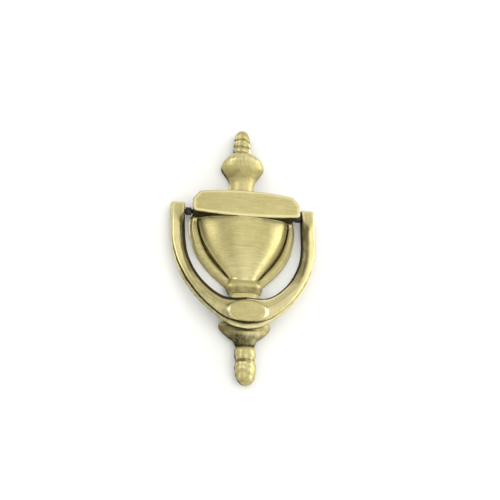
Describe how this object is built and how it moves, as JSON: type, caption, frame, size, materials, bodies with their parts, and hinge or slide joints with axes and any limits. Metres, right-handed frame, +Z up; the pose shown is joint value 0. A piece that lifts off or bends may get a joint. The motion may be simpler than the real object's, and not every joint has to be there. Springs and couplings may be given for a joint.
{
  "type": "door knocker",
  "caption": "Urn-pattern door knocker: a cast relief backplate with finials and a bail that swings from its hinge box, with through-door fixings.",
  "frame": {"origin": "on the plate's back face, on its centre line, midway between the tips of the two finials", "axes": "+X to the right as a caller sees it, +Y into the door, +Z up; the caller stands at -Y"},
  "size_m": [0.0882, 0.0723, 0.16],
  "materials": {
    "antique_brass": "brushed antique brass, dark patina left in the creases and on inner sides, lacquered",
    "striker_brass": "plain turned brass",
    "blackened_steel": "black oxide, slightly oily",
    "black_nylon": "matt black nylon",
    "zinc_plated_steel": "bright zinc plate"
  },
  "bodies": {
    "plate": {"urn_backplate": "antique_brass", "strike_plate": "striker_brass", "hinge_pin_left": "blackened_steel", "hinge_pin_right": "blackened_steel", "hinge_bush_left": "black_nylon", "hinge_bush_right": "black_nylon", "mounting_stud_upper": "zinc_plated_steel", "mounting_stud_lower": "zinc_plated_steel", "flat_washer_upper": "zinc_plated_steel", "flat_washer_lower": "zinc_plated_steel", "spring_washer_upper": "zinc_plated_steel", "spring_washer_lower": "zinc_plated_steel", "cap_nut_upper": "zinc_plated_steel", "cap_nut_lower": "zinc_plated_steel"},
    "knocker": {"knocker_bail": "antique_brass", "striker_stud": "striker_brass"}
  },
  "joints": [
    {"name": "knocker_hinge", "type": "hinge", "parent": "plate", "child": "knocker", "pos_m": [0, -0.005, 0.024], "axis": [-1, 0, 0], "range_deg": [0, 170]}
  ]
}
